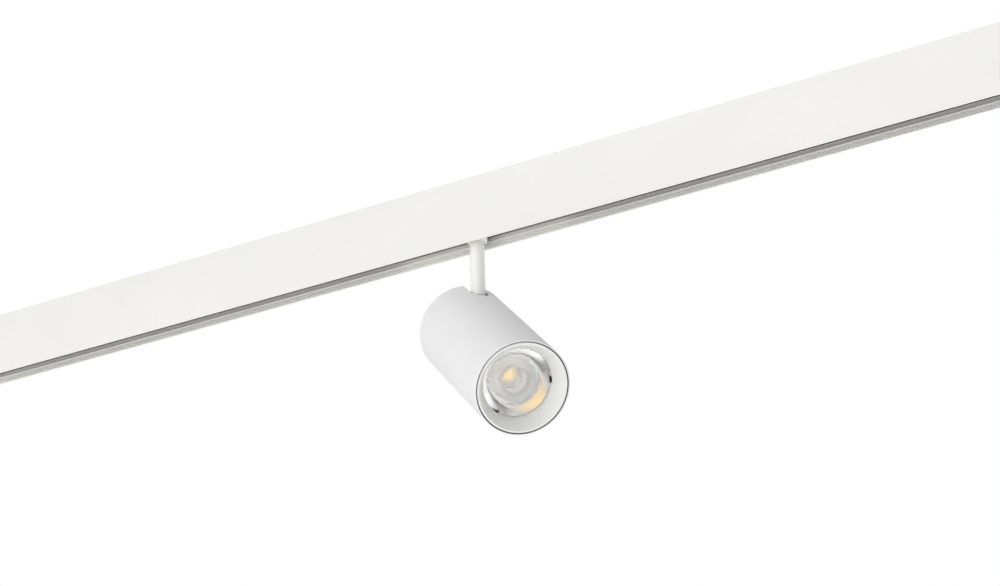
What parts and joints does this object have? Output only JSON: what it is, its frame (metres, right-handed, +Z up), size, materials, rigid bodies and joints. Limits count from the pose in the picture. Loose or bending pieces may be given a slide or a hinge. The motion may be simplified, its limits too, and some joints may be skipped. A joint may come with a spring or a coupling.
{
  "type": "track spotlight",
  "caption": "Cylindrical LED spotlight that tilts on a short pan stem and slides along a slim surface-mounted ceiling track.",
  "frame": {"origin": "middle of the track's flat top face, which lies against the ceiling", "axes": "+Z up out of the top face into the ceiling; +X along the track, towards the end without the power feed; +Y across it"},
  "size_m": [1, 0.1417, 0.2383],
  "materials": {
    "track_paint": "white powder coat, satin",
    "head_paint": "white powder coat, fine texture, matt",
    "stem_paint": "white powder coat, satin",
    "white_plastic": "moulded, satin",
    "baffle_white": "moulded, satin",
    "black_plastic": "moulded, matt",
    "grey_plastic": "moulded, matt",
    "copper": "bare copper, rolled",
    "steel": "zinc plated",
    "aluminium": "bare, machined",
    "circuit_board": "solder mask",
    "magnet": "nickel plated",
    "phosphor": "silicone with phosphor",
    "lens_clear": "clear moulded acrylic, honeycomb front face",
    "thermal_pad": "silicone pad",
    "lead_sheath": "white sheath"
  },
  "bodies": {
    "track": {"track_profile": "track_paint", "end_cap_left": "white_plastic", "end_cap_right": "white_plastic", "end_cap_screw_left_near": "steel", "end_cap_screw_left_far": "steel", "end_cap_screw_right_near": "steel", "end_cap_screw_right_far": "steel", "steel_strip": "steel", "conductor_carrier_near": "black_plastic", "conductor_carrier_far": "black_plastic", "copper_rail_near": "copper", "copper_rail_far": "copper", "feed_block": "grey_plastic"},
    "adapter": {"adapter_housing": "white_plastic", "adapter_cover": "white_plastic", "adapter_screw_left": "steel", "adapter_screw_right": "steel", "driver_board": "circuit_board", "magnet_left": "magnet", "magnet_right": "magnet", "contact_leaf_near": "copper", "contact_leaf_far": "copper", "stem_bush": "grey_plastic", "pan_washer": "steel"},
    "stem": {"stem_tube": "stem_paint", "stem_collar": "stem_paint", "stem_nut": "steel", "stem_lead": "lead_sheath", "stem_knuckle": "steel"},
    "head": {"head_tube": "head_paint", "rear_cap": "head_paint", "rear_standoff_left": "steel", "rear_standoff_right": "steel", "rear_cap_screw_left": "steel", "rear_cap_screw_right": "steel", "pivot_bracket": "steel", "bracket_screw_left": "steel", "bracket_screw_right": "steel", "pivot_pin": "steel", "pivot_nut": "steel", "friction_washer_left": "grey_plastic", "friction_washer_right": "grey_plastic", "heat_sink": "aluminium", "thermal_pad": "thermal_pad", "led_board": "aluminium", "led_emitter": "phosphor", "led_holder": "white_plastic", "led_holder_screw_left": "steel", "led_holder_screw_right": "steel", "tir_lens": "lens_clear", "lens_holder": "white_plastic", "lens_ring": "baffle_white", "lens_clip_1": "black_plastic", "lens_clip_2": "black_plastic", "lens_clip_3": "black_plastic", "front_baffle": "baffle_white"}
  },
  "joints": [
    {"name": "track_slide", "type": "slide", "parent": "track", "child": "adapter", "axis": [1, 0, 0], "range_m": [-0.405, 0.375]},
    {"name": "pan", "type": "hinge", "parent": "adapter", "child": "stem", "pos_m": [0.03, 0, -0.0756], "axis": [0, 0, 1], "range_deg": [-175, 175]},
    {"name": "tilt", "type": "hinge", "parent": "stem", "child": "head", "pos_m": [0.03, 0, -0.10565], "axis": [0.6044, 0.7967, 0], "range_deg": [-36, 53.5]}
  ]
}
